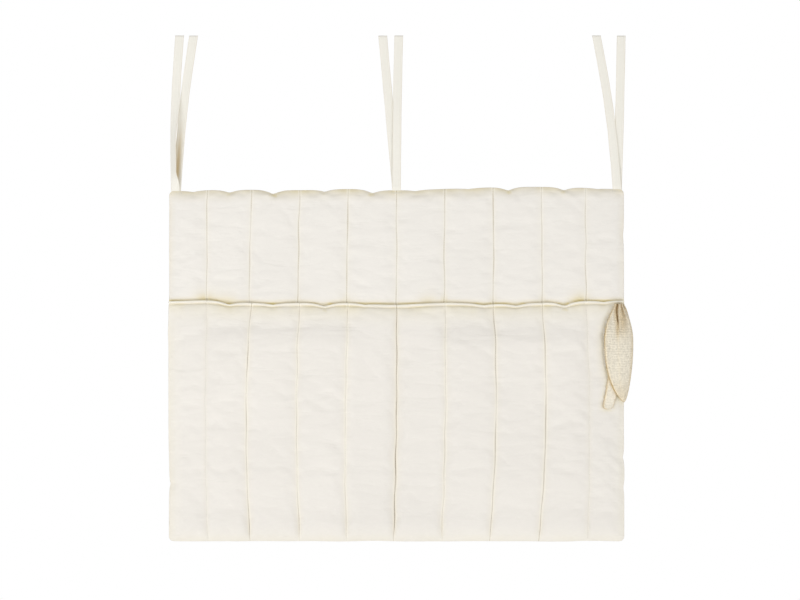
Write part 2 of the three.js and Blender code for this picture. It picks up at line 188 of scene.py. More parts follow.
def cottonCloth(name, look, ribbed=False):
    material, tree = emptyMaterial(name)
    place = addNode(tree, "ShaderNodeTexCoord").outputs["Object"]
    seamGap = addNode(tree, "ShaderNodeAttribute", attribute_name="seamGap").outputs["Fac"]
    rimGap = addNode(tree, "ShaderNodeAttribute", attribute_name="rimGap").outputs["Fac"]
    warmth = addNode(tree, "ShaderNodeAttribute", attribute_name="warmth").outputs["Fac"]

    # colour: slow mottling, painted shade at the edges and beside the seams, painted highlights on the ridges
    # and rolls, then painted crease shade in the thin lines along the seams
    mottle = cloudy(tree, place, cotton["mottleScale"], cotton["mottleDetail"], look["seed"])
    shade = ranged(tree, mottle, cotton["mottleRange"], cotton["mottleShares"])
    patchy = cloudy(tree, place, cotton["patchScale"], cotton["patchDetail"], look["seed"])
    uneven = ranged(tree, patchy, cotton["patchRange"], cotton["patchShares"])
    across, down = look["grain"]
    fine = addNode(tree, "ShaderNodeMapping", {"Vector": place, "Scale": (across, across, down)})
    grain = cloudy(tree, fine.outputs["Vector"], 1.0, cotton["crepeDetail"], look["seed"])
    crepe = ranged(tree, grain, cotton["crepeRange"], (1 - look["crepe"], 1 + look["crepe"]))
    shade = combine(tree, "MULTIPLY", shade, crepe)
    width = look["lineWidth"]
    # painted shade at the edges, made patchy, then the painted shade share carried by each point
    paintedShadeMix = combine(tree, "MULTIPLY", shareBy(tree, rimGap, look["edge"]), uneven)
    paintedShadeMix = combine(tree, "MAXIMUM", paintedShadeMix, warmth)
    # painted shade in a band beside each sewn line
    besideSeam = fade(tree, seamGap, width * cotton["warmReach"], look["seamWarm"])
    paintedShadeMix = combine(tree, "MAXIMUM", paintedShadeMix, besideSeam)
    # painted highlights: on the rolled hems and as light ridges beside each sewn line
    rolledHighlight = shareBy(tree, rimGap, look["roll"])
    # painted crease shade in the thin line along each sewn line or fold
    line = fade(tree, seamGap, width, look["lineTint"])
    highlightFrom, highlightTo = cotton["ridge"]
    ridge = combine(tree, "SUBTRACT", fade(tree, seamGap, width * highlightTo, cotton["ridgeShare"]),
                    fade(tree, seamGap, width * highlightFrom, cotton["ridgeShare"]))
    light = combine(tree, "MAXIMUM", ridge, rolledHighlight)
    cloth = mixColour(tree, paintedShadeMix, screenTone(*look["colour"]), screenTone(*look["warm"]))
    cloth = mixColour(tree, light, cloth, screenTone(*look["raised"]))
    cloth = mixColour(tree, line, cloth, screenTone(*look["sunk"]))

    # relief: slack wrinkles first, then warp and weft
    slant = (0.0, math.radians(look["wrinkleSlant"]), 0.0)
    turned = addNode(tree, "ShaderNodeMapping", {
        "Vector": place, "Scale": cotton["wrinkleScale"], "Rotation": slant})
    wrinkles = addNode(tree, "ShaderNodeTexNoise", {
        "Vector": turned.outputs["Vector"], "Scale": 1.0, "Detail": cotton["wrinkleDetail"],
        "Distortion": cotton["wrinkleWarp"], "W": look["seed"]}, noise_dimensions="4D")
    wrinkled = addNode(tree, "ShaderNodeBump", {
        "Strength": cotton["wrinkleStrength"], "Distance": look["wrinkle"],
        "Height": wrinkles.outputs["Fac"]})
    scale = bandScale(look["weave"])
    warp = banded(tree, place, scale, cotton["threadWarp"], cotton["threadDetail"], "X")
    weft = banded(tree, place, scale, cotton["threadWarp"], cotton["threadDetail"], "Z")
    if ribbed:
        # coarse cross ribs under the weave
        ribs = banded(tree, place, scale / cotton["ribSpacing"], cotton["ribWarp"], cotton["ribDetail"], "Z")
        weft = combine(tree, "ADD", combine(tree, "MULTIPLY", weft, cotton["ribbedWeft"]), ribs)
    cross = combine(tree, "ADD", combine(tree, "MULTIPLY", warp, cotton["warpShare"]), weft)
    weave = addNode(tree, "ShaderNodeBump", {
        "Strength": cotton["weaveStrength"], "Distance": look["weaveDepth"], "Height": cross,
        "Normal": wrinkled.outputs["Normal"]})
    shader = addNode(tree, "ShaderNodeBsdfPrincipled", {
        "Base Color": scaled(tree, cloth, shade), "Roughness": cotton["roughness"],
        "Sheen Weight": cotton["sheen"], "Sheen Roughness": cotton["sheenRoughness"],
        "Specular IOR Level": cotton["gloss"], "Normal": weave.outputs["Normal"]})
    addNode(tree, "ShaderNodeOutputMaterial", {"Surface": shader.outputs["BSDF"]})
    return material


def threadFinish(name, look):
    material, tree = emptyMaterial(name)
    place = addNode(tree, "ShaderNodeTexCoord").outputs["Object"]
    fibres = addNode(tree, "ShaderNodeTexNoise", {
        "Vector": place, "Scale": look["fibreScale"], "Detail": look["fibreDetail"]})
    shade = ranged(tree, fibres.outputs["Fac"], (0.0, 1.0), look["fibreShares"])
    tone = addNode(tree, "ShaderNodeRGB")
    tone.outputs[0].default_value = screenTone(*look["colour"])
    twist = addNode(tree, "ShaderNodeTexWave", {"Vector": place, "Scale": bandScale(look["strand"])},
                    bands_direction="DIAGONAL")
    plies = addNode(tree, "ShaderNodeBump", {
        "Strength": look["plyStrength"], "Distance": look["plyDepth"], "Height": twist.outputs["Fac"]})
    shader = addNode(tree, "ShaderNodeBsdfPrincipled", {
        "Base Color": scaled(tree, tone.outputs[0], shade), "Roughness": look["roughness"],
        "Specular IOR Level": look["gloss"], "Normal": plies.outputs["Normal"]})
    addNode(tree, "ShaderNodeOutputMaterial", {"Surface": shader.outputs["BSDF"]})
    return material


panelCloth = cottonCloth("panelCotton", panelCotton)
pocketCloth = cottonCloth("pocketCotton", pocketCotton)
tieCloth = cottonCloth("tieCotton", tieCotton)
tailCloth = cottonCloth("tailCotton", tailCotton, ribbed=True)
rearTailCloth = cottonCloth("rearTailCotton", rearTailCotton, ribbed=True)
thread = threadFinish("sewingThread", sewingThread)
print("finishes made:", len(bpy.data.materials))


# both quilted panels share their channels
quilt = {
    "width": 0.6, "height": 0.463, "mouthDrop": 0.148, "cornerRadius": 0.0055,
    "seams": [-0.25, -0.192, -0.128, -0.064, 0.0, 0.064, 0.128, 0.192, 0.25],
    "backPulls": [0.9, 1.0, 0.95, 0.9, 1.0, 0.9, 1.0, 0.95, 0.85], "backPullSeed": 300,
    "pocketPulls": [0.3, 1.0, 0.95, 0.9, 1.15, 0.9, 1.0, 0.95, 0.4], "pocketPullSeed": 400,
    "pullDrift": 0.35, "pullCycles": 8,
    "crownReach": 0.0085, "crownHalf": 0.004, "seamHalf": 0.002, "edgeHalf": 0.001,
    "backRolls": (0.012, 0.014, 0.014), "pocketRolls": (0.04, 0.03, 0.03),  # top, sides, bottom
    "roundness": 0.6, "edgeRoundness": 0.8, "seamDrift": 0.0013, "sideDrift": 0.0008,
}
seamPlaces = np.array(quilt["seams"])
channelEdges = np.array([-quilt["width"] / 2, *quilt["seams"], quilt["width"] / 2])


def smooth(share):
    held = np.clip(share, 0, 1)
    return held * held * (3 - 2 * held)


def swell(share, roundness):
    return np.sin(np.pi / 2 * np.clip(share, 0, 1)) ** roundness


waving = {"count": 6, "slowest": 0.6, "turn": 6.28, "least": 0.4}


def wander(along, seed, cycles=9):
    # a smooth line between about -1 and 1 that never repeats
    pick = np.random.default_rng(seed)
    waves = [(pick.uniform(waving["slowest"], cycles), pick.uniform(0, waving["turn"]),
              pick.uniform(waving["least"], 1)) for _ in range(waving["count"])]
    total = sum(size * np.sin(2 * np.pi * rate * along + start) for rate, start, size in waves)
    return total / sum(size for _, _, size in waves)


def channelOf(x):
    index = np.clip(np.searchsorted(channelEdges, x, side="right") - 1, 0, len(channelEdges) - 2)
    share = (x - channelEdges[index]) / (channelEdges[index + 1] - channelEdges[index])
    return index, share


def sideGap(x):
    return quilt["width"] / 2 - np.abs(x)


def nearestSeam(x):
    return np.argmin(np.abs(x[..., None] - seamPlaces), axis=-1)


def perSeam(x, drop, seed, cycles):
    # a wandering value along each seam, read at the nearest one
    lines = np.stack([wander(drop / quilt["height"], seed + k, cycles) for k in range(len(seamPlaces))])
    return np.take_along_axis(lines, nearestSeam(x)[None], axis=0)[0]


def fullness(x):
    # 0 on a sewn line, 1 on the flat of a channel
    seamGaps = np.min(np.abs(x[..., None] - channelEdges), axis=-1)
    return swell(seamGaps / quilt["crownReach"], quilt["roundness"])


def padHalf(x, drop, top, rolls, pulls, seed):
    closing = np.ones_like(x)
    for gap, reach in zip((drop - top, sideGap(x), quilt["height"] - drop), rolls):
        closing = closing * swell(gap / reach, quilt["edgeRoundness"])
    drift = quilt["pullDrift"] * perSeam(x, drop, seed, quilt["pullCycles"])
    pull = np.array(pulls)[nearestSeam(x)] * (1 + drift)
    valley = (quilt["crownHalf"] - quilt["seamHalf"]) * pull * (1 - fullness(x))
    return quilt["edgeHalf"] + (quilt["crownHalf"] - quilt["edgeHalf"] - valley) * closing


def backHalf(x, drop):
    return padHalf(x, drop, 0, quilt["backRolls"], quilt["backPulls"], quilt["backPullSeed"])


# the pocket stands off the back panel in its two halves, its mouth lies close and ends in a soft roll
pocket = {
    "clearDepth": 0.0065, "sideRise": 0.08, "bottomRise": 0.09, "sewnGap": 0.0004, "sewnRise": 0.0012,
    "lipGap": 0.0003, "lipReach": 0.06, "gapeWidth": 0.014, "gapeEnd": 0.03, "easing": 0.003,
    "gapes": [(-0.252, 0.0011), (-0.222, 0.0009), (-0.064, 0.0003), (0.042, 0.0007), (0.24, 0.0011)],
    "roll": 0.0003, "rollDrop": 0.0004, "rollWidth": 0.001,
    "ditch": 0.0006, "ditchDrop": 0.003, "ditchWidth": 0.0013,
}


def bump(along, place, width):
    return np.exp(-((along - place) / width) ** 2)


def pocketHalf(x, drop):
    below = drop - quilt["mouthDrop"]
    plain = padHalf(x, drop, quilt["mouthDrop"], quilt["pocketRolls"], quilt["pocketPulls"],
                    quilt["pocketPullSeed"])
    lip = pocket["roll"] * bump(below, pocket["rollDrop"], pocket["rollWidth"])
    return plain + lip - pocket["ditch"] * bump(below, pocket["ditchDrop"], pocket["ditchWidth"])


def softMost(first, second):
    # the larger of two, eased where they cross
    return (first + second + np.sqrt((first - second) ** 2 + pocket["easing"] ** 2)) / 2


def pocketRear(x, drop):
    lip = 1 - smooth((drop - quilt["mouthDrop"]) / pocket["lipReach"])
    across = smooth(sideGap(x) / pocket["sideRise"]) * smooth(np.abs(x) / pocket["sideRise"])
    standing = across * smooth((quilt["height"] - drop) / pocket["bottomRise"]) * (1 - lip)
    sewn = 2 * quilt["edgeHalf"] + pocket["sewnRise"]
    middle = sewn + (2 * quilt["crownHalf"] + pocket["clearDepth"] - sewn) * standing
    gapes = sum(size * bump(x, place, pocket["gapeWidth"]) for place, size in pocket["gapes"])
    gape = (pocket["lipGap"] + gapes) * lip * smooth(sideGap(x) / pocket["gapeEnd"])
    nearest = backHalf(x, drop) + pocket["sewnGap"] + gape
    return softMost(middle - pocketHalf(x, drop), nearest)


def pocketFront(x, drop):
    return np.maximum(pocketRear(x, drop) + 2 * pocketHalf(x, drop), 0)


# small irregularities of the sewn cloth: drifting seams, notched edges, dents in the sides
# drop is where the panel starts, levels raise its top edge at each channel end
# bows and ends bend each seam aside, notches are (place, depth, slant)
backTop = {
    "drop": 0, "seed": 100, "levelReach": 0.148, "notchWidth": 0.0115, "bowDrop": 0.25,
    "levels": [-0.0018, -0.0007, -0.0002, -0.0007, 0.0008, -0.001, 0.001, 0.003, 0.0037, 0.0025, 0.0006],
    "bows": [-0.0008, -0.002, -0.0025, -0.0018, 0.0, -0.001, 0.0, 0.0005, 0.0003],
    "ends": [0.0] * 9,
    "notches": [(-0.269, 0.0013, 0.3), (-0.2215, 0.0025, -0.2), (-0.1635, 0.0039, 0.5),
                (-0.095, 0.0018, -0.3), (-0.032, 0.0032, -0.6), (0.025, 0.001, 0.3), (0.095, 0.0009, -0.4),
                (0.148, 0.0034, 0.2), (0.2215, 0.0028, -0.3), (0.266, 0.0006, 0.3)],
}
pocketTop = {
    "drop": quilt["mouthDrop"], "seed": 200, "levelReach": 0.06, "notchWidth": 0.0115, "bowDrop": 0.4,
    "levels": [0.0002, 0.0012, -0.0021, -0.0022, -0.0023, -0.0045, -0.0019, -0.0034, -0.0019, 0.0004, 0.001],
    "bows": [-0.002, -0.0055, -0.0035, -0.003, 0.0, 0.0005, 0.003, 0.0045, 0.004],
    "ends": [0.001, -0.0015, 0.0003, -0.002, -0.0035, -0.0042, -0.0048, -0.0042, 0.002],
    "notches": [(-0.2215, 0.0029, 0.4), (-0.1635, 0.0014, -0.3), (-0.095, 0.0034, 0.3),
                (-0.042, 0.0009, -0.5), (0.116, 0.0013, 0.3), (0.158, 0.002, 0.2), (0.2215, 0.0041, 0.4),
                (0.274, 0.0012, -0.3)],
}
unevenness = {
    "sideReach": 0.03, "sideCycles": 6, "dentReach": 0.012, "hem": 0.0007, "hemReach": 0.3, "hemPower": 3,
    "notchLean": 0.3, "notchPower": 1.8, "notchReach": 0.012,
    "puckerWidth": 0.0022, "puckerSpread": 0.12, "puckerReach": 0.011,
}
# (side, drop, depth, reach), a depth below 0 is a bulge
sideDents = [(1, 0.353, 0.0022, 0.006), (1, 0.393, 0.0018, 0.006), (-1, 0.388, 0.002, 0.006),
             (1, 0.06, 0.0012, 0.008), (-1, 0.188, -0.0016, 0.022)]


def resampled(values, places, wanted, axis):
    # a smooth curve through the values along one axis
    values = np.moveaxis(values, axis, 0)
    index = np.clip(np.searchsorted(places, wanted, side="right") - 1, 0, len(places) - 2)
    share = (wanted - places[index]) / (places[index + 1] - places[index])
    share = share.reshape(-1, *[1] * (values.ndim - 1))
    last = len(places) - 1
    a, b, c, d = (values[np.clip(index + k, 0, last)] for k in (-1, 0, 1, 2))
    curve = b + 0.5 * share * (c - a + share * (2 * a - 5 * b + 4 * c - d + share * (3 * (b - c) + d - a)))
    return np.moveaxis(curve, 0, axis)


def levelOf(x, edge):
    return resampled(np.array(edge["levels"]), channelEdges, x.reshape(-1), 0).reshape(x.shape)


def bowed(share, middle, bow, end):
    # a parabola from nothing through the bow at the middle share to the end
    bend = (bow - end * middle) / (middle * (middle - 1))
    return share * (end - bend) + share ** 2 * bend


def shifted(x, drop, edge):
    # where a flat place of a panel ends up across and down
    top, seed = edge["drop"], edge["seed"]
    index, share = channelOf(x)
    along = drop / quilt["height"]
    drifts = [np.zeros_like(drop)]
    lower = (drop - top) / (quilt["height"] - top)
    for k in range(len(quilt["seams"])):
        drift = bowed(lower, edge["bowDrop"], edge["bows"][k], edge["ends"][k])
        drifts.append(drift + quilt["seamDrift"] * wander(along, seed + 10 + k))
    drifts.append(np.zeros_like(drop))
    rows = np.arange(drop.size).reshape(drop.shape)
    flat = np.stack(drifts).reshape(len(drifts), -1)
    moved = flat[index, rows] * (1 - share) + flat[index + 1, rows] * share
    newX = x + moved
    nearSide = np.clip(1 - sideGap(x) / unevenness["sideReach"], 0, 1)
    side = np.sign(x)
    newX = newX + nearSide * quilt["sideDrift"] * wander(along, seed + 40 + (x > 0), unevenness["sideCycles"])
    for edgeSide, dentDrop, depth, reach in sideDents:
        near = np.exp(-np.abs(drop - dentDrop) / reach) * np.exp(-sideGap(x) / unevenness["dentReach"])
        newX = newX - side * (side == edgeSide) * depth * near
    below = drop - top
    dip = -levelOf(x, edge) * smooth(1 - below / edge["levelReach"])
    for place, depth, slant in edge["notches"]:
        line = np.abs(x - place - unevenness["notchLean"] * slant * below) / edge["notchWidth"]
        fading = np.exp(-below / unevenness["notchReach"])
        dip = dip + depth * np.exp(-line ** unevenness["notchPower"]) * fading
    newZ = -drop - dip
    hemDrift = unevenness["hem"] * wander(x / quilt["width"], seed + 60)
    newZ = newZ + hemDrift * np.clip(below / unevenness["hemReach"], 0, 1) ** unevenness["hemPower"]
    # round the corners: a square corner is pressed into a quarter circle
    radius = quilt["cornerRadius"]
    outX = np.clip(1 - sideGap(x) / radius, 0, 1)
    outLow = np.clip(1 - (quilt["height"] - drop) / radius, 0, 1)
    outTop = np.clip(1 - below / radius, 0, 1) * (top == 0)
    for outEnd, sign in ((outLow, 1), (outTop, -1)):
        newX = newX - side * radius * outX * (1 - np.sqrt(1 - outEnd ** 2 / 2))
        newZ = newZ + sign * radius * outEnd * (1 - np.sqrt(1 - outX ** 2 / 2))
    return newX, newZ


def creasePair(slant):
    # a notch's main crease and a lesser one the other way, as (slant, size)
    return (slant, 1.0), (-0.7 * slant - 0.2, 0.7)


def puckers(x, drop, edge):
    # short creases that run down from each notch
    below = drop - edge["drop"]
    dent = np.zeros_like(x)
    for place, depth, slant in edge["notches"]:
        for turn, size in creasePair(slant):
            width = unevenness["puckerWidth"] + unevenness["puckerSpread"] * below
            line = (x - place - turn * below) / width
            dent = dent + size * depth * np.exp(-line ** 2) * np.exp(-below / unevenness["puckerReach"])
    return dent


slack = {"across": 0.6, "count": 260, "lengths": (0.01, 0.03), "widths": (0.0028, 0.0044),
         "heights": (-0.0007, 0.0007), "spread": 16, "backLean": 12, "pocketLean": 28}


def creases(x, drop, lean, seed):
    # short shallow folds of the slack cloth, mostly along one slant
    pick = np.random.default_rng(seed)
    fold = np.zeros_like(x)
    for _ in range(slack["count"]):
        placeX = pick.uniform(-0.5, 0.5) * slack["across"]
        placeDrop = pick.uniform(0, quilt["height"])
        turn = math.radians(lean + slack["spread"] * pick.normal())
        length, width, height = (pick.uniform(*slack[key]) for key in ("lengths", "widths", "heights"))
        along = ((x - placeX) * math.cos(turn) + (drop - placeDrop) * math.sin(turn)) / length
        aside = ((drop - placeDrop) * math.cos(turn) - (x - placeX) * math.sin(turn)) / width
        fold = fold + height * np.exp(-along ** 2 - aside ** 2)
    return fold * fullness(x)


def closedShell(name, front, rear, rimSteps):
    # front and rear grids joined round their border by a rounded rim
    rows, across = front.shape[:2]
    count = rows * across
    grid = np.arange(count).reshape(rows, across)
    border = np.concatenate([grid[:-1, 0], grid[-1, :-1], grid[:0:-1, -1], grid[0, :0:-1]])
    points = [front.reshape(-1, 3), rear.reshape(-1, 3)]
    here, there = points[0][border], points[1][border]
    middle = (here + there) / 2
    ahead = np.roll(middle, -1, axis=0) - np.roll(middle, 1, axis=0)
    outward = np.cross(ahead, here - there)
    outward /= np.maximum(np.linalg.norm(outward, axis=1, keepdims=True), 1e-12)
    half = np.linalg.norm(here - there, axis=1, keepdims=True) / 2
    rings = [border]
    for step in range(rimSteps):
        angle = math.pi * (step + 1) / (rimSteps + 1)
        points.append(middle + (here - middle) * math.cos(angle) + outward * half * math.sin(angle))
        rings.append(2 * count + step * len(border) + np.arange(len(border)))
    rings.append(border + count)
    a, b, c, d = grid[:-1, :-1], grid[1:, :-1], grid[1:, 1:], grid[:-1, 1:]
    faces = [np.stack([a, b, c, d], -1).reshape(-1, 4), np.stack([a, d, c, b], -1).reshape(-1, 4) + count]
    for first, second in zip(rings[:-1], rings[1:]):
        faces.append(np.stack([first, second, np.roll(second, -1), np.roll(first, -1)], -1))
    mesh = bpy.data.meshes.new(name)
    mesh.from_pydata(np.concatenate(points).tolist(), [], np.concatenate(faces).tolist())
    mesh.polygons.foreach_set("use_smooth", [True] * len(mesh.polygons))
    mesh.update()
    shell = bpy.data.objects.new(name, mesh)
    scene.collection.objects.link(shell)
    return shell, border


def setGaps(shell, border, rimSteps, seamGaps, rimGaps, warmth):
    # distances to the nearest sewn line and to the edge, and the front's share of painted shade, for the
    # cloth's colour
    for name, values, rearShare in (("seamGap", seamGaps, 1), ("rimGap", rimGaps, 1), ("warmth", warmth, 0)):
        flat = values.reshape(-1)
        full = np.concatenate([flat, flat * rearShare, *[flat[border]] * rimSteps])
        shell.data.attributes.new(name, "FLOAT", "POINT").data.foreach_set("value", full.astype(np.float32))


# the wadding's push: each panel is blown up softly between its sewn lines
puff = {"pressure": 2.2, "growth": 0.008, "frames": 22, "steps": 6, "spacing": 0.0054, "most": 0.0015,
        "stiffness": 12.0, "shear": 4.0, "bending": 0.15, "pinTop": 0.6}
# the fine grids of both panels, closer beside the seams and along the edges
grids = {
    "columns": 0.0029, "besideSeam": (0.0006, 0.0013, 0.0022), "backRows": 0.0037, "pocketRows": 0.0035,
    "topSteps": [0.0008, 0.001, 0.0013, 0.0018], "endSteps": [0.0015, 0.002, 0.0025, 0.003],
    "mouthSteps": [0.0005] * 8 + [0.0007, 0.0009, 0.0012, 0.0016, 0.0022, 0.0028],
    "rimSteps": 3, "dentRoom": 0.3, "dentShare": 0.45, "touching": 1e-6,
}


def evenColumns(spacing, beside=()):
    # columns across all channels, with some more beside every sewn line
    parts = [channelEdges[-1:]]
    for left, right in zip(channelEdges[:-1], channelEdges[1:]):
        parts.append(np.linspace(left, right, round((right - left) / spacing) + 1)[:-1])
        parts += [[left + step, right - step] for step in beside]
    return np.sort(np.concatenate(parts))


def puffed(label, front, rear, pins):
    shell = closedShell(label, front, rear, 0)[0]
    group = shell.vertex_groups.new(name="sewn")
    weights = np.concatenate([pins.reshape(-1), pins.reshape(-1)])
    for weight in np.unique(weights[weights > 0]):
        group.add(np.flatnonzero(weights == weight).tolist(), float(weight), "REPLACE")
    cloth = shell.modifiers.new("puff", "CLOTH")
    cloth.settings.vertex_group_mass = "sewn"
    cloth.settings.quality = puff["steps"]
    cloth.settings.tension_stiffness = puff["stiffness"]
    cloth.settings.compression_stiffness = puff["stiffness"]
    cloth.settings.shear_stiffness = puff["shear"]
    cloth.settings.bending_stiffness = puff["bending"]
    cloth.settings.use_pressure = True
    cloth.settings.uniform_pressure_force = puff["pressure"]
    cloth.settings.shrink_min = -puff["growth"]
    cloth.settings.effector_weights.gravity = 0
    cloth.collision_settings.use_collision = False
    cloth.point_cache.frame_end = puff["frames"]
    for moment in range(1, puff["frames"] + 1):
        scene.frame_set(moment)
    found = shell.evaluated_get(bpy.context.evaluated_depsgraph_get())
    places = np.zeros(len(found.data.vertices) * 3, np.float32)
    found.data.vertices.foreach_get("co", places)
    moved = places.reshape(2, *front.shape).astype(float) - np.stack([front, rear])
    scene.frame_set(1)
    bpy.data.objects.remove(shell)
    far = np.linalg.norm(moved, axis=-1, keepdims=True)
    held = moved * np.minimum(1, puff["most"] / np.maximum(far, 1e-9))
    print(label, "puffed: largest move", round(far.max() * 1000, 2), "mm, usual",
          round(np.median(far) * 1000, 2))
    return held[0], held[1]


def quiltedPanel(name, edge, frontDepth, rearDepth, fineRows, lean):
    top, low, seed = edge["drop"], quilt["height"], edge["seed"]

    def surfaces(columns, drops):
        x, drop = np.meshgrid(columns, drops)
        newX, newZ = shifted(x, drop, edge)
        near, far = frontDepth(x, drop), rearDepth(x, drop)
        room = grids["dentRoom"] * (near - far)
        dent = room * (1 - np.exp(-grids["dentShare"] * puckers(x, drop, edge) / room))
        front = np.stack([newX, dent - near, newZ], -1)
        rear = np.stack([newX, -dent - far, newZ], -1)
        return x, drop, front, rear

    fineColumns = evenColumns(grids["columns"], grids["besideSeam"])
    x, drop, front, rear = surfaces(fineColumns, fineRows)
    columns = evenColumns(puff["spacing"])
    drops = np.linspace(top, low, round((low - top) / puff["spacing"]) + 1)
    coarseX, coarseDrop, coarseFront, coarseRear = surfaces(columns, drops)
    onSeam = np.isin(np.round(coarseX, 6), np.round(quilt["seams"], 6))
    onSide = sideGap(coarseX) < grids["touching"]
    pins = np.where(onSeam | onSide | (coarseDrop >= low - grids["touching"]), 1.0, 0.0)
    onTop = (coarseDrop <= top + grids["touching"]) & ~onSeam & ~onSide
    pins = np.where(onTop, puff["pinTop"], pins)
    moves = puffed(name, coarseFront, coarseRear, pins)
    fine = [resampled(resampled(move, drops, fineRows, 0), columns, fineColumns, 1) for move in moves]
    front, rear = front + fine[0], rear + fine[1]
    front[..., 1] -= creases(x, drop, lean, seed + 1)
    rear[..., 1] += creases(x, drop, -lean, seed + 2)
    return x, drop, front, rear


def spacedRows(top, bottom, firstSteps, lastSteps, spacing):
    start = top + np.cumsum([0, *firstSteps])
    stop = bottom - np.cumsum([0, *lastSteps])[::-1]
    count = max(2, round((stop[0] - start[-1]) / spacing) + 1)
    return np.concatenate([start, np.linspace(start[-1], stop[0], count)[1:-1], stop])


# how faint each seam's line of painted crease shade is, as line widths added to the real distance
backLines = {"faint": [0.25, 0.3, 0.15, 0.15, 0.2, 0.15, 0.1, 0.25, 0.3], "drift": 0.3, "cycles": 7,
             "faintest": 2.5, "seed": 500, "sideFaint": 0.0075, "lowFaint": 0.0075}
pocketLines = {"faint": [2.0, 0.3, 0.45, 0.5, 0.25, 0.45, 0.2, 0.2, 1.8], "drift": 0.3, "cycles": 7,
               "faintest": 2.5, "seed": 600, "sideFaint": 0.0145, "lowFaint": 0.0145}
# patches of painted shade: in the creases under the notches, painted shadow along the mouth where it gapes or
# crosses a seam, and painted shadow beside the tail
paintedShadePatches = {
    "notchShare": 150, "notchWidth": 0.0042, "notchDrop": 0.003, "notchReach": 0.004,
    "pocketDrop": 0.004, "pocketShare": 0.7, "pocketFrom": 0.0025, "pocketFade": 0.0015,
    "gapeShare": 760, "gapeReach": 0.006, "seamWidth": 0.005, "most": 0.95,
    "seamShares": [0.65, 0.25, 0.35, 0.55, 0.15, 0.7, 0.45, 0.45, 0.6],
    "lipShare": 0.95, "lipReach": 0.0017, "rim": 0.0009,
    "tailShare": 0.4, "tailReach": 0.0042, "leafShare": 0.5,
}


def seamGapOf(x, drop, lines, width):
    drift = lines["drift"] * perSeam(x, drop, lines["seed"], lines["cycles"])
    faint = np.array(lines["faint"])[nearestSeam(x)] + drift
    return np.min(np.abs(x[..., None] - seamPlaces), axis=-1) + width * np.clip(faint, 0, lines["faintest"])


def rimGapOf(x, drop, top, lines):
    lowGap = quilt["height"] - drop + lines["lowFaint"]
    return np.minimum(sideGap(x) + lines["sideFaint"], np.minimum(drop - top, lowGap))


def notchPaintedShade(x, drop, edge):
    # painted shade in the short creases under each notch
    below = drop - edge["drop"]
    warm = np.zeros_like(x)
    for place, depth, slant in edge["notches"]:
        share = paintedShadePatches["notchShare"] * depth * bump(below, paintedShadePatches["notchDrop"], paintedShadePatches["notchReach"])
        for turn, size in creasePair(slant):
            warm = np.maximum(warm, size * share * bump(x, place + turn * below, paintedShadePatches["notchWidth"]))
    return warm


def mouthPaintedShade(x, z):
    # painted shadow along the pocket's mouth: a thin dark line at the lip, stronger where the mouth gapes or
    # crosses a seam
    mouth = shifted(x, np.full_like(x, quilt["mouthDrop"]), pocketTop)[1]
    above = np.abs(z - mouth - paintedShadePatches["rim"])
    fading = np.exp(-above / paintedShadePatches["gapeReach"])
    warm = sum(paintedShadePatches["gapeShare"] * size * bump(x, place, pocket["gapeWidth"])
               for place, size in pocket["gapes"])
    for place, share in zip(quilt["seams"], paintedShadePatches["seamShares"]):
        warm = np.maximum(warm, share * bump(x, place, paintedShadePatches["seamWidth"]))
    lip = paintedShadePatches["lipShare"] * np.exp(-above / paintedShadePatches["lipReach"])
    return np.minimum(np.maximum(warm * fading, lip), paintedShadePatches["most"])


def finished(piece, material):
    piece.data.materials.clear()
    piece.data.materials.append(material)


# back panel, held flat behind the pocket
behind = {"reach": 0.014, "skin": 0.0001, "rise": 0.003}
backRows = spacedRows(backTop["drop"], quilt["height"], grids["topSteps"] + grids["endSteps"],
                      grids["endSteps"], grids["backRows"])
x, drop, front, rear = quiltedPanel("backQuilt", backTop, backHalf, lambda x, d: -backHalf(x, d), backRows,
                                    slack["backLean"])
behindPocket = smooth((drop - quilt["mouthDrop"] + behind["reach"]) / behind["reach"])
mostForward = -(backHalf(x, drop) + behind["skin"]) - (1 - behindPocket) * behind["rise"]
front[..., 1] = np.where(behindPocket > 0, np.maximum(front[..., 1], mostForward), front[..., 1])
backQuilt, border = closedShell("backQuilt", front, rear, grids["rimSteps"])
# painted shade in the notch creases and a painted shadow along the pocket's mouth
setGaps(backQuilt, border, grids["rimSteps"], seamGapOf(x, drop, backLines, panelCotton["lineWidth"]),
        rimGapOf(x, drop, backTop["drop"], backLines),
        np.maximum(notchPaintedShade(x, drop, backTop), mouthPaintedShade(x, front[..., 2])))
finished(backQuilt, panelCloth)
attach(backQuilt, "panel")
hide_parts("back_face", "back_wadding", "back_lining")
print("back panel sewn:", len(backQuilt.data.polygons), "faces")


# pocket panel, its rear kept off the back panel
pocketSkin = 0.0003
pocketRows = spacedRows(pocketTop["drop"], quilt["height"], grids["mouthSteps"], grids["endSteps"],
                        grids["pocketRows"])
x, drop, front, rear = quiltedPanel("pocketQuilt", pocketTop, pocketFront, pocketRear, pocketRows,
                                    slack["pocketLean"])
rear[..., 1] = np.minimum(rear[..., 1], -(backHalf(x, drop) + pocketSkin))
pocketQuilt, border = closedShell("pocketQuilt", front, rear, grids["rimSteps"])
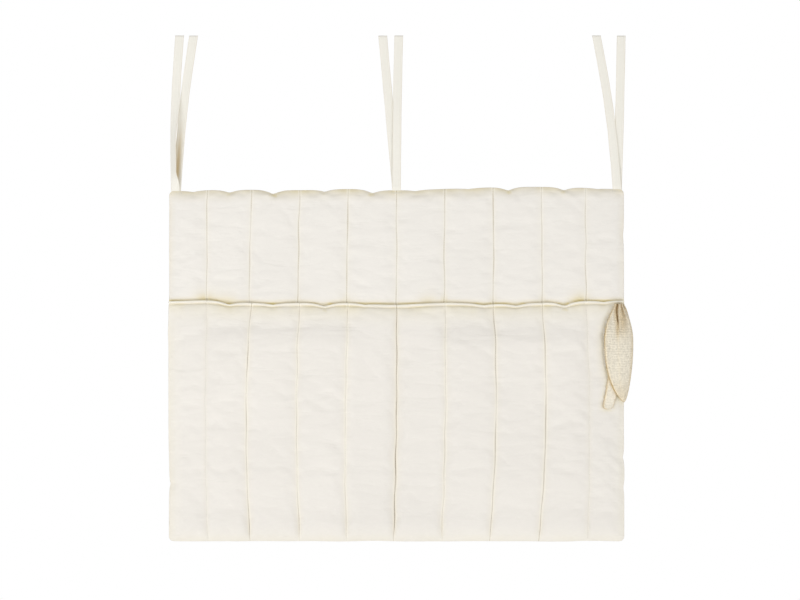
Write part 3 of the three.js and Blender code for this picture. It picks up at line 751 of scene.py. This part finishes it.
# painted shade in the creases under the pocket's notches, starting a little below the mouth
underNotch = notchPaintedShade(x, np.maximum(drop - paintedShadePatches["pocketDrop"], pocketTop["drop"]), pocketTop)
underLip = smooth((drop - pocketTop["drop"] - paintedShadePatches["pocketFrom"]) / paintedShadePatches["pocketFade"])
setGaps(pocketQuilt, border, grids["rimSteps"], seamGapOf(x, drop, pocketLines, pocketCotton["lineWidth"]),
        rimGapOf(x, drop, pocketTop["drop"], pocketLines), underNotch * paintedShadePatches["pocketShare"] * underLip)
finished(pocketQuilt, pocketCloth)
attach(pocketQuilt, "panel")
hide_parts("pocket_face", "pocket_wadding", "pocket_lining")
print("pocket panel sewn:", len(pocketQuilt.data.polygons), "faces")


# stitches follow the sewn lines
stitching = {"pitch": 0.0031, "length": 0.0023, "width": 0.00055, "depth": 0.0004, "turn": 0.06, "seed": 4}


def stitchTree():
    tree = bpy.data.node_groups.new("stitchRow", "GeometryNodeTree")
    face = tree.interface
    face.new_socket("Path", in_out="INPUT", socket_type="NodeSocketGeometry")
    for name in ("Pitch", "Length", "Width", "Depth", "Turn"):
        face.new_socket(name, in_out="INPUT", socket_type="NodeSocketFloat")
    face.new_socket("Seed", in_out="INPUT", socket_type="NodeSocketInt")
    face.new_socket("Thread", in_out="INPUT", socket_type="NodeSocketMaterial")
    face.new_socket("Stitches", in_out="OUTPUT", socket_type="NodeSocketGeometry")
    given = addNode(tree, "NodeGroupInput").outputs
    line = addNode(tree, "GeometryNodeMeshToCurve", {"Mesh": given["Path"]})
    spaced = addNode(tree, "GeometryNodeResampleCurve", {
        "Curve": line.outputs["Curve"], "Length": given["Pitch"]}, mode="LENGTH")
    bead = addNode(tree, "GeometryNodeMeshUVSphere", {"Segments": 6, "Rings": 5, "Radius": 0.5})
    along = addNode(tree, "GeometryNodeInputTangent")
    aimed = addNode(tree, "FunctionNodeAlignRotationToVector", {"Vector": along.outputs["Tangent"]}, axis="X")
    least = addNode(tree, "ShaderNodeMath", {0: given["Turn"], 1: -1.0}, operation="MULTIPLY")
    sway = addNode(tree, "FunctionNodeRandomValue", data_type="FLOAT")
    tree.links.new(least.outputs[0], sway.inputs[2])
    tree.links.new(given["Turn"], sway.inputs[3])
    tree.links.new(given["Seed"], sway.inputs["Seed"])
    swayed = addNode(tree, "ShaderNodeCombineXYZ")
    tree.links.new(sway.outputs[1], swayed.inputs["Y"])
    asTurn = addNode(tree, "FunctionNodeEulerToRotation", {"Euler": swayed.outputs["Vector"]})
    turned = addNode(tree, "FunctionNodeRotateRotation", {"Rotation": aimed.outputs["Rotation"],
                                                          "Rotate By": asTurn.outputs["Rotation"]})
    size = addNode(tree, "ShaderNodeCombineXYZ", {
        "X": given["Length"], "Y": given["Depth"], "Z": given["Width"]})
    rowOf = addNode(tree, "GeometryNodeInstanceOnPoints", {
        "Points": spaced.outputs["Curve"], "Instance": bead.outputs["Mesh"],
        "Rotation": turned.outputs["Rotation"], "Scale": size.outputs["Vector"]})
    real = addNode(tree, "GeometryNodeRealizeInstances", {"Geometry": rowOf.outputs["Instances"]})
    soft = addNode(tree, "GeometryNodeSetShadeSmooth", {"Geometry": real.outputs["Geometry"]})
    clothed = addNode(tree, "GeometryNodeSetMaterial", {
        "Geometry": soft.outputs["Geometry"], "Material": given["Thread"]})
    addNode(tree, "NodeGroupOutput", {"Stitches": clothed.outputs["Geometry"]})
    return tree


stitchRow = stitchTree()
socketOf = {item.name: item.identifier for item in stitchRow.interface.items_tree if item.in_out == "INPUT"}


def sewnLines(name, paths, body, nodes, **changes):
    points, edges = [], []
    for path in paths:
        first = len(points)
        points += [tuple(point) for point in path]
        edges += [(first + k, first + k + 1) for k in range(len(path) - 1)]
    mesh = bpy.data.meshes.new(name)
    mesh.from_pydata(points, edges, [])
    guide = bpy.data.objects.new(name + "Path", mesh)
    scene.collection.objects.link(guide)
    rows = guide.modifiers.new("stitches", "NODES")
    rows.node_group = stitchRow
    sizes = {**stitching, **changes}
    for label in ("Pitch", "Length", "Width", "Depth", "Turn", "Seed"):
        rows[socketOf[label]] = sizes[label.lower()]
    rows[socketOf["Thread"]] = thread
    made = bpy.data.meshes.new_from_object(guide.evaluated_get(bpy.context.evaluated_depsgraph_get()))
    bpy.data.objects.remove(guide)
    made.name = name
    row = bpy.data.objects.new(name, made)
    scene.collection.objects.link(row)
    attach(row, body)
    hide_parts(*nodes)
    print(name, "stitched:", len(made.polygons), "faces")


def treeOf(piece, depth=1):
    # a depth of 0 presses the piece flat, as it looks from the front
    points = [(v.co.x, v.co.y * depth, v.co.z) for v in piece.data.vertices]
    return BVHTree.FromPolygons(points, [tuple(p.vertices) for p in piece.data.polygons])


seamPath = {"from": 0.1, "lift": 0.0001, "step": 0.003, "end": 0.003, "mouth": 0.005, "behindMouth": 0.03}


def laidOn(tree, x, drop, edge, fromFront=True):
    # the path of a seam, dropped onto the puffed cloth
    newX, newZ = shifted(x, drop, edge)
    way = 1.0 if fromFront else -1.0
    path = []
    for px, pz in zip(newX, newZ):
        hit = tree.ray_cast(Vector((px, -way * seamPath["from"], pz)), Vector((0, way, 0)))[0]
        if hit is not None:
            path.append((px, hit.y - way * seamPath["lift"], pz))
    return path


backTree, pocketTree = treeOf(backQuilt), treeOf(pocketQuilt)
lowEnd = quilt["height"] - seamPath["end"]
downBack = np.arange(seamPath["end"], lowEnd, seamPath["step"])
downPocket = np.arange(quilt["mouthDrop"] + seamPath["mouth"], lowEnd, seamPath["step"])
aboveMouth = downBack[downBack < quilt["mouthDrop"] + seamPath["behindMouth"]]
backPaths, pocketPaths = [], []
for seam in quilt["seams"]:
    backPaths.append(laidOn(backTree, np.full_like(aboveMouth, seam), aboveMouth, backTop))
    backPaths.append(laidOn(backTree, np.full_like(downBack, seam), downBack, backTop, fromFront=False))
    pocketPaths.append(laidOn(pocketTree, np.full_like(downPocket, seam), downPocket, pocketTop))
sewnLines("backStitches", backPaths, "panel", [f"back_quilting_{k + 1}" for k in range(9)])
sewnLines("pocketStitches", pocketPaths, "panel", [f"pocket_quilting_{k + 1}" for k in range(9)])


# ties: folded strips that bend near the top edge of the panel
# aside shifts the sewn end, twist turns the strip about one of its edges above that end
ties = {
    "width": 0.0115, "thickness": 0.0013, "top": 0.205, "tuck": 0.002, "ease": 0.005, "bend": 0.012,
    "rows": 84, "foot": 0.012, "footRows": 12, "around": 24, "squareX": 0.45, "squareY": 0.7,
    "fold": 0.00016, "foldPlaces": (-0.62, 0.55), "foldWidth": 0.13, "foldShares": (0.35, 0.65),
    "foldFade": 5,
    "twistTop": 0.66, "twistFade": 0.36, "twistFoot": 0.12, "sway": 0.0004, "swayFoot": 6,
    "pressed": (0.35, 0.65), "widthDrift": 0.03,
    "shadeTop": 0.5, "shadeFade": 0.36, "shadeFrom": 0.1, "shadeWidth": 0.9, "shadeRear": 0.2,
}
plainTie = {"aside": 0, "lean": 0, "bow": 0, "twist": 0, "pivot": 0, "shade": 0}
tieShapes = {
    "left_front": {**plainTie, "aside": -0.0026, "lean": 0.0056, "bow": -0.003, "twist": -47, "pivot": -1,
                   "seed": 21},
    "left_rear": {**plainTie, "aside": -0.0062, "lean": 0.0225, "bow": -0.0028, "twist": -12, "pivot": 1,
                  "shade": 0.8, "seed": 22},
    "centre_front": {**plainTie, "lean": 0.003, "bow": -0.0006, "seed": 23},
    "centre_rear": {**plainTie, "lean": -0.0183, "seed": 24},
    "right_front": {**plainTie, "aside": 0.002, "lean": -0.0275, "bow": 0.0038, "seed": 25},
    "right_rear": {**plainTie, "aside": 0.0026, "lean": 0.005, "bow": 0.0004, "seed": 26},
}


def topEdge(x):
    return float(shifted(np.array([x]), np.zeros(1), backTop)[1][0])


def tieStrip(name, shape):
    hinge = hinges[name + "_tie_swing"]
    sewnX = hinge[0] + shape["aside"]
    length = ties["top"] - hinge[2]
    edge = topEdge(sewnX) - hinge[2]
    lowest = min(0.0, edge) - ties["tuck"]
    heights = np.concatenate([np.linspace(lowest, ties["foot"], ties["footRows"])[:-1],
                              np.linspace(ties["foot"], length, ties["rows"])])
    angles = np.linspace(0, 2 * np.pi, ties["around"], endpoint=False)
    flatX = np.sign(np.cos(angles)) * np.abs(np.cos(angles)) ** ties["squareX"]
    flatY = np.sign(np.sin(angles)) * np.abs(np.sin(angles)) ** ties["squareY"]
    folds = sum(bump(flatX, place, ties["foldWidth"]) for place in ties["foldPlaces"])
    rings, rims, shades = [], [], []
    for height in heights:
        share = max(0.0, height / length)
        x = shape["lean"] * share + shape["bow"] * math.sin(math.pi * share)
        twisted = smooth((ties["twistTop"] - share) / ties["twistFade"]) * smooth(share / ties["twistFoot"])
        turn = math.radians(shape["twist"]) * float(twisted)
        sway = ties["sway"] * wander(share, shape["seed"], 3) * min(1, share * ties["swayFoot"])
        # pressed thin where it goes in between the front and rear cloth of the edge
        least, rest = ties["pressed"]
        free = least + rest * float(smooth((height - edge) / ties["ease"]))
        y = hinge[1] * free + sway
        half = ties["thickness"] / 2 * free
        across = flatX * ties["width"] / 2 * (1 + ties["widthDrift"] * wander(share, shape["seed"] + 9, 5))
        least, rest = ties["foldShares"]
        creased = ties["fold"] * folds * (least + rest * math.exp(-share * ties["foldFade"]))
        through = flatY * half - np.sign(flatY) * creased * (np.abs(flatY) > 0.5)
        pivot = shape["pivot"] * ties["width"] / 2
        px = sewnX + x + pivot + (across - pivot) * math.cos(turn) - through * math.sin(turn)
        py = y + (across - pivot) * math.sin(turn) + through * math.cos(turn)
        rings.append(np.stack([px, py, np.full_like(px, hinge[2] + height)], -1))
        rims.append((1 - np.abs(flatX)) * ties["width"] / 2)
        # the low part of a twisted tie is in the shade of the one before it
        low = float(smooth((ties["shadeTop"] - share) / ties["shadeFade"]))
        inner = 1 - smooth((flatX - ties["shadeFrom"]) / ties["shadeWidth"])
        shades.append((flatY < ties["shadeRear"]) * shape["shade"] * float(twisted) * low * inner)
    count = ties["around"]
    points = np.concatenate(rings)
    faces = []
    for row in range(len(rings) - 1):
        for k in range(count):
            here, after = row * count + k, row * count + (k + 1) % count
            faces.append((here, after, after + count, here + count))
    faces.append(tuple(range(count))[::-1])
    faces.append(tuple(range(len(points) - count, len(points))))
    mesh = bpy.data.meshes.new("tie_" + name)
    mesh.from_pydata(points.tolist(), [], faces)
    mesh.polygons.foreach_set("use_smooth", [True] * (len(faces) - 2) + [False, False])
    mesh.update()
    strip = bpy.data.objects.new("tie_" + name + "_strip", mesh)
    scene.collection.objects.link(strip)
    # painted crease shade along the folds, painted shade at the side edges and on the twisted tie's low part
    foldGaps = np.min([np.abs(flatX - place) for place in ties["foldPlaces"]], axis=0) * ties["width"] / 2
    gaps = {"seamGap": np.tile(foldGaps, len(rings)), "rimGap": np.concatenate(rims),
            "warmth": np.concatenate(shades)}
    for label, values in gaps.items():
        mesh.attributes.new(label, "FLOAT", "POINT").data.foreach_set("value", values.astype(np.float32))
    finished(strip, tieCloth)
    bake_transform(strip)
    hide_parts("tie_" + name)


for name, shape in tieShapes.items():
    tieStrip(name, shape)
print("ties hung:", len(tieShapes))


# bar tacks across the edge, over the sewn ends of the ties
tieTack = {"drops": (0.0016, 0.0029), "overhang": 0.0006, "points": 8}
tackPaths = []
for side in ("left", "centre", "right"):
    pair = (side + "_front", side + "_rear")
    places = [hinges[tie + "_tie_swing"][0] + tieShapes[tie]["aside"] for tie in pair]
    reach = ties["width"] / 2 + tieTack["overhang"]
    across = np.linspace(min(places) - reach, max(places) + reach, tieTack["points"])
    for tackDrop in tieTack["drops"]:
        for fromFront in (True, False):
            tackPaths.append(laidOn(backTree, across, np.full_like(across, tackDrop), backTop, fromFront))
sewnLines("tieTackStitches", tackPaths, "panel", ["tie_tack_left", "tie_tack_centre", "tie_tack_right"],
          pitch=0.0021, length=0.0018, width=0.0005)


# seams that hold the pocket: both sides, the bottom and the divider in the middle
pocketSeam = {"step": 0.004, "mouth": 0.006, "sideEnd": 0.008, "dividerEnd": 0.006, "corner": 0.01,
              "fromSide": 0.0008, "fromBottom": 0.0006, "y": -0.0013}


def edgeSeam(x, drop):
    newX, newZ = shifted(x, drop, backTop)
    return [(px, pocketSeam["y"], pz) for px, pz in zip(newX, newZ)]


halfWidth = quilt["width"] / 2
seamTop = quilt["mouthDrop"] + pocketSeam["mouth"]
downSide = np.arange(seamTop, quilt["height"] - pocketSeam["sideEnd"], pocketSeam["step"])
edgePaths = []
for side in (-1, 1):
    edgePaths.append(edgeSeam(np.full_like(downSide, side * (halfWidth - pocketSeam["fromSide"])), downSide))
acrossLow = np.arange(-halfWidth + pocketSeam["corner"], halfWidth - pocketSeam["corner"], pocketSeam["step"])
edgePaths.append(edgeSeam(acrossLow, np.full_like(acrossLow, quilt["height"] - pocketSeam["fromBottom"])))
downDivider = np.arange(seamTop, quilt["height"] - pocketSeam["dividerEnd"], pocketSeam["step"])
edgePaths.append(laidOn(backTree, np.zeros_like(downDivider), downDivider, backTop))
sewnLines("pocketSeamStitches", edgePaths, "panel",
          ["pocket_seam_left", "pocket_seam_right", "pocket_seam_bottom", "pocket_seam_divider"],
          depth=0.0005)


# tail: a wide front leaf and a narrow rear one, gathered at the neck
# a pair is the start and the length of a change, along a leaf or across its half width
tail = {
    "neck": 0.012, "thickness": 0.0012, "shoulder": 0.04, "above": 0.012, "bend": 0.012, "rimSteps": 2,
    "rows": 260, "columns": 65, "tipFrom": 0.97, "tipShare": 0.03, "tipStart": 0.85, "tipRows": 9,
    "narrowest": 0.0004, "clear": 0.0005, "free": 0.005, "settle": 0.6, "settleFade": (0.45, 0.55),
    "tuckReach": 0.12, "leanReach": 0.2, "pleatPlace": 0.05, "pleatSwing": 0.35, "pleatReach": 0.2,
    "pleatFade": (0.15, 0.2), "folds": 2.1, "foldGap": 0.002, "fanFade": (0.06, 0.26),
    "hemPlace": 0.001, "hemWidth": 0.0007, "hemStart": (0.06, 0.1),
    "rib": 0.0032, "ribSway": 1.5, "ribSeed": 73, "ribShares": (0.6, 0.4), "ribShareSeed": 75,
    "waver": 0.0006, "waverSeed": 71,
    "darkGap": 0.004, "darkFade": (0.12, 0.2), "plainGap": 0.012, "rimGap": 0.005, "rimFade": (0.2, 0.3),
    "foldBump": (0.3, 0.5), "foldFade": (0.12, 0.3), "sideShade": 0.35, "sideFade": (0.72, 0.28),
    "pleatBump": (-0.0008, 0.003), "pleatShadeFade": (0.22, 0.2), "tipFade": (0.72, 0.26),
}
frontLeaf = {
    "length": 0.1275, "width": 0.0375, "fullest": 0.37, "opening": 0.85, "taper": 2.2, "point": 0.72,
    "shift": 0.0072, "shiftPower": 5, "lean": -0.0018, "camber": 0.0068, "hang": 0.005, "tuck": 0.002,
    "area": 0.0036, "pleat": 0.0042, "pleatWidth": 0.0017, "gather": 0.0017, "hem": 0.0008,
    "ribDepth": 0.00045, "foldShade": 0.65, "pleatShade": 0.8, "tipShade": 0.3,
}
rearLeaf = {
    "length": 0.1365, "width": 0.0148, "fullest": 0.4, "opening": 1.0, "taper": 36, "point": 0.36,
    "shift": -0.0145, "shiftPower": 2.3, "lean": -0.0015, "camber": 0.0012, "hang": 0.0038, "tuck": 0.0042,
    "area": 0.0019, "pleat": 0.0, "pleatWidth": 0.0017, "gather": 0.0005, "hem": 0.0006,
    "ribDepth": 0.0002, "foldShade": 0.0, "pleatShade": 0.0, "tipShade": 0.0,
}


def leafHalf(shares, leaf):
    # half the leaf's width: opens from the neck, then runs down to its tip
    neckShare = tail["neck"] / leaf["width"]
    rising = np.sin(np.pi / 2 * np.clip(shares / leaf["fullest"], 0, 1)) ** leaf["opening"]
    falling = np.clip((shares - leaf["fullest"]) / (1 - leaf["fullest"]), 0, 1)
    tapered = np.maximum(1 - falling ** leaf["taper"], tail["narrowest"]) ** leaf["point"]
    return leaf["width"] / 2 * (neckShare + (1 - neckShare) * rising) * tapered


def after(shares, start, length):
    return smooth((shares - start) / length)


def leafDepth(shares, sides, half, middle, leaf):
    # how far each place of a leaf stands forward of its hinge
    crown = half / leaf["width"] * 2
    hang = leaf["hang"] * smooth(shares * leaf["length"] / tail["shoulder"])
    hang = hang * (1 - tail["settle"] * after(shares, *tail["settleFade"]))
    forward = hang + leaf["camber"] * crown * (1 - sides ** 2)
    # folds that fan out of the neck, the deepest one dark with painted shade set in the leaf's colour
    fromPleat = (sides + middle) * half
    pleatFade = 1 - after(shares, *tail["pleatFade"])
    forward = forward - leaf["pleat"] * pleatFade * np.exp(-(fromPleat / leaf["pleatWidth"]) ** 2)
    fan = 1 - after(shares, *tail["fanFade"])
    waves = np.cos(2 * np.pi * (sides + middle) * tail["folds"])
    forward = forward + leaf["gather"] * fan * waves * smooth(np.abs(fromPleat) / tail["foldGap"])
    # rolled hems and soft cross ribs
    hems = bump(half * (1 - np.abs(sides)), tail["hemPlace"], tail["hemWidth"]) * (sides < 0)
    forward = forward + leaf["hem"] * hems * after(shares, *tail["hemStart"])
    sway = tail["ribSway"] * wander(sides * 0.5, tail["ribSeed"], 3)
    ribs = np.sin(2 * np.pi * shares * leaf["length"] / tail["rib"] + sway)
    least, varied = tail["ribShares"]
    patchy = least + varied * wander(shares + sides * 0.2, tail["ribShareSeed"], 5)
    forward = forward + leaf["ribDepth"] * ribs * smooth(crown) * patchy
    forward = forward + tail["waver"] * wander(shares * 1.3 + sides * 0.35, tail["waverSeed"], 4) * crown
    return forward - leaf["tuck"] * (1 - smooth((shares + tail["above"]) / tail["tuckReach"]))


def tailLeaf(name, leaf, cloth, hinge, node):
    tip = 1 - tail["tipShare"] * np.linspace(tail["tipStart"], 0, tail["tipRows"]) ** 2
    down = np.concatenate([np.linspace(-tail["above"], tail["tipFrom"], tail["rows"]), tip])
    shares, sides = np.meshgrid(down, np.linspace(-1, 1, tail["columns"]), indexing="ij")
    half = leafHalf(shares, leaf)
    middle = tail["pleatPlace"] + tail["pleatSwing"] * (1 - smooth(shares / tail["pleatReach"]))
    forward = leafDepth(shares, sides, half, middle, leaf)
    shift = leaf["shift"] * np.clip(shares, 0, 1) ** leaf["shiftPower"]
    across = shift + leaf["lean"] * smooth(shares / tail["leanReach"]) + sides * half
    place = np.stack([hinge[0] + across, hinge[1] - forward, hinge[2] - shares * leaf["length"]], -1)
    thick = tail["thickness"] / 2 * np.array([0.0, 1.0, 0.0])
    # the leaf lies over the cloth under it, never through it
    for point, share in zip(place.reshape(-1, 3), shares.reshape(-1)):
        hit = pocketTree.ray_cast(Vector((point[0], -seamPath["from"], point[2])), Vector((0, 1, 0)))[0]
        if hit is not None:
            lying = hit.y - tail["thickness"] / 2 - tail["clear"]
            held = float(smooth(share * leaf["length"] / tail["free"]))
            point[1] += min(0.0, lying - point[1]) * held
    shell, border = closedShell(name, place - thick, place + thick, tail["rimSteps"])
    # colour: painted shade in the dark line of the pleat, in the folds, on the right side and at the pleat's
    # foot, and a darkening towards the tip
    fromPleat = (sides + middle) * half
    darkGaps = np.abs(fromPleat) + tail["darkGap"] * after(shares, *tail["darkFade"])
    darkGaps = darkGaps + tail["plainGap"] * (leaf["pleat"] == 0)
    rimGaps = half * (1 - np.abs(sides)) + tail["rimGap"] * after(sides, *tail["rimFade"])
    folded = leaf["foldShade"] * bump(sides, *tail["foldBump"]) * (1 - after(shares, *tail["foldFade"]))
    aside = tail["sideShade"] * after(sides, *tail["sideFade"])
    pleated = leaf["pleatShade"] * bump(fromPleat, *tail["pleatBump"])
    pleated = pleated * (1 - after(shares, *tail["pleatShadeFade"]))
    tipped = leaf["tipShade"] * after(shares, *tail["tipFade"])
    warm = np.max([folded, aside, pleated, tipped], axis=0)
    setGaps(shell, border, tail["rimSteps"], darkGaps, rimGaps, warm)
    finished(shell, cloth)
    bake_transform(shell)
    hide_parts(node)
    return shell


lowLeaf = tailLeaf("tailRearLeaf", rearLeaf, rearTailCloth, hinges["rear_tail_lift"],
                   "tail_rear")
topLeaf = tailLeaf("tailFrontLeaf", frontLeaf, tailCloth, hinges["front_tail_lift"],
                   "tail_front")
# a faint painted shadow on the cloth beside them, none under them
besideTail = {"left": 0.2, "low": -0.32}
for under, leaf, most, reach in (
        (pocketQuilt, topLeaf, paintedShadePatches["tailShare"], paintedShadePatches["tailReach"]),
        (pocketQuilt, lowLeaf, paintedShadePatches["tailShare"], paintedShadePatches["tailReach"] / 2),
        (lowLeaf, topLeaf, paintedShadePatches["leafShare"], paintedShadePatches["tailReach"] / 2)):
    leafTree = treeOf(leaf, depth=0)
    for vertex, warm in zip(under.data.vertices, under.data.attributes["warmth"].data):
        if vertex.co.x > besideTail["left"] and vertex.co.z > besideTail["low"]:
            gap = leafTree.find_nearest((vertex.co.x, 0, vertex.co.z))[3]
            if gap > 0:
                warm.value = max(warm.value, most * math.exp(-gap / reach))
neckTack = {"rows": 3, "lift": 0.0004, "spacing": 0.0011, "behind": 0.0028, "half": 0.0045, "points": 5}
neck = hinges["rear_tail_lift"]
neckPaths = []
for row in range(neckTack["rows"]):
    z = neck[2] + neckTack["lift"] - row * neckTack["spacing"]
    places = np.linspace(-neckTack["half"], neckTack["half"], neckTack["points"])
    neckPaths.append([(neck[0] + across, neck[1] + neckTack["behind"], z) for across in places])
sewnLines("tailTackStitches", neckPaths, "panel", ["tail_tack"], pitch=0.0022, length=0.002, width=0.0009,
          depth=0.0012)
print("tail gathered")


# studio: an even white room, a far key low on the right, a soft fill low on the left and one lamp behind
studio = {"frontLevel": 0.708, "backLevel": 0.56, "aim": (0, 0, -0.15), "floorDrop": 1.05, "floorSize": 1.1,
          "floorSides": 96, "floorScale": 40.0, "floorTones": (0.88, 0.9), "floorGlow": 0.34}
lamps = {
    "keyLamp": {"place": (4.6, -4.9, -3.4), "size": 2.0, "power": 116.0},
    "fillLamp": {"place": (-1.9, -2.3, -1.2), "size": 2.0, "power": 32.5},
    "rearLamp": {"place": (0.4, 2.6, 0.2), "size": 1.6, "power": 29.0},
}
for name, lamp in lamps.items():
    light = bpy.data.lights.new(name, "AREA")
    light.size = lamp["size"]
    light.energy = lamp["power"]
    holder = bpy.data.objects.new(name, light)
    holder.location = lamp["place"]
    aim = Vector(studio["aim"]) - Vector(lamp["place"])
    holder.rotation_euler = aim.to_track_quat("-Z", "Y").to_euler()
    holder.visible_camera = False
    scene.collection.objects.link(holder)

world = bpy.data.worlds.new("studio")
scene.world = world
world.use_nodes = True
world.node_tree.nodes.clear()
skyTree = world.node_tree
toward = addNode(skyTree, "ShaderNodeTexCoord").outputs["Generated"]
ahead = addNode(skyTree, "ShaderNodeVectorMath", {0: toward, 1: (0.0, -1.0, 0.0)}, operation="DOT_PRODUCT")
levels = (studio["backLevel"], studio["frontLevel"])
softBox = ranged(skyTree, ahead.outputs["Value"], (0.0, 1.0), levels)
rays = addNode(skyTree, "ShaderNodeLightPath").outputs
seen = combine(skyTree, "MAXIMUM", rays["Is Camera Ray"], rays["Is Glossy Ray"])
seen = combine(skyTree, "MAXIMUM", seen, rays["Is Transmission Ray"])
level = combine(skyTree, "MAXIMUM", seen, softBox)
sky = addNode(skyTree, "ShaderNodeBackground", {"Color": (1, 1, 1, 1), "Strength": level})
addNode(skyTree, "ShaderNodeOutputWorld", {"Surface": sky.outputs["Background"]})

floorMesh = bpy.data.meshes.new("floor")
ring = [(studio["floorSize"] * math.cos(a), studio["floorSize"] * math.sin(a), -studio["floorDrop"])
        for a in np.linspace(0, 2 * np.pi, studio["floorSides"], endpoint=False)]
floorMesh.from_pydata(ring, [], [tuple(range(studio["floorSides"]))])
floor = bpy.data.objects.new("floor", floorMesh)
scene.collection.objects.link(floor)
floorPaint, tree = emptyMaterial("paleFloor")
floorNoise = addNode(tree, "ShaderNodeTexNoise", {"Scale": studio["floorScale"], "Detail": 2.0})
floorTone = ranged(tree, floorNoise.outputs["Fac"], (0.0, 1.0), studio["floorTones"])
floorShader = addNode(tree, "ShaderNodeBsdfDiffuse", {"Color": floorTone})
# the camera sees the floor paler than it lights
floorRays = addNode(tree, "ShaderNodeLightPath").outputs
glow = combine(tree, "MULTIPLY", floorRays["Is Camera Ray"], studio["floorGlow"])
floorGlow = addNode(tree, "ShaderNodeEmission", {"Strength": glow})
floorSum = addNode(tree, "ShaderNodeAddShader", {
    0: floorShader.outputs["BSDF"], 1: floorGlow.outputs["Emission"]})
addNode(tree, "ShaderNodeOutputMaterial", {"Surface": floorSum.outputs["Shader"]})
floorMesh.materials.append(floorPaint)

shot = {"lens": 100, "sensor": 36, "place": (0.0046, -2.942, -0.1451)}
view = bpy.data.cameras.new("view")
view.lens = shot["lens"]
view.sensor_width = shot["sensor"]
camera = bpy.data.objects.new("view", view)
camera.location = shot["place"]
camera.rotation_euler = (math.radians(90), 0, 0)
scene.collection.objects.link(camera)
scene.camera = camera
print("studio lit")
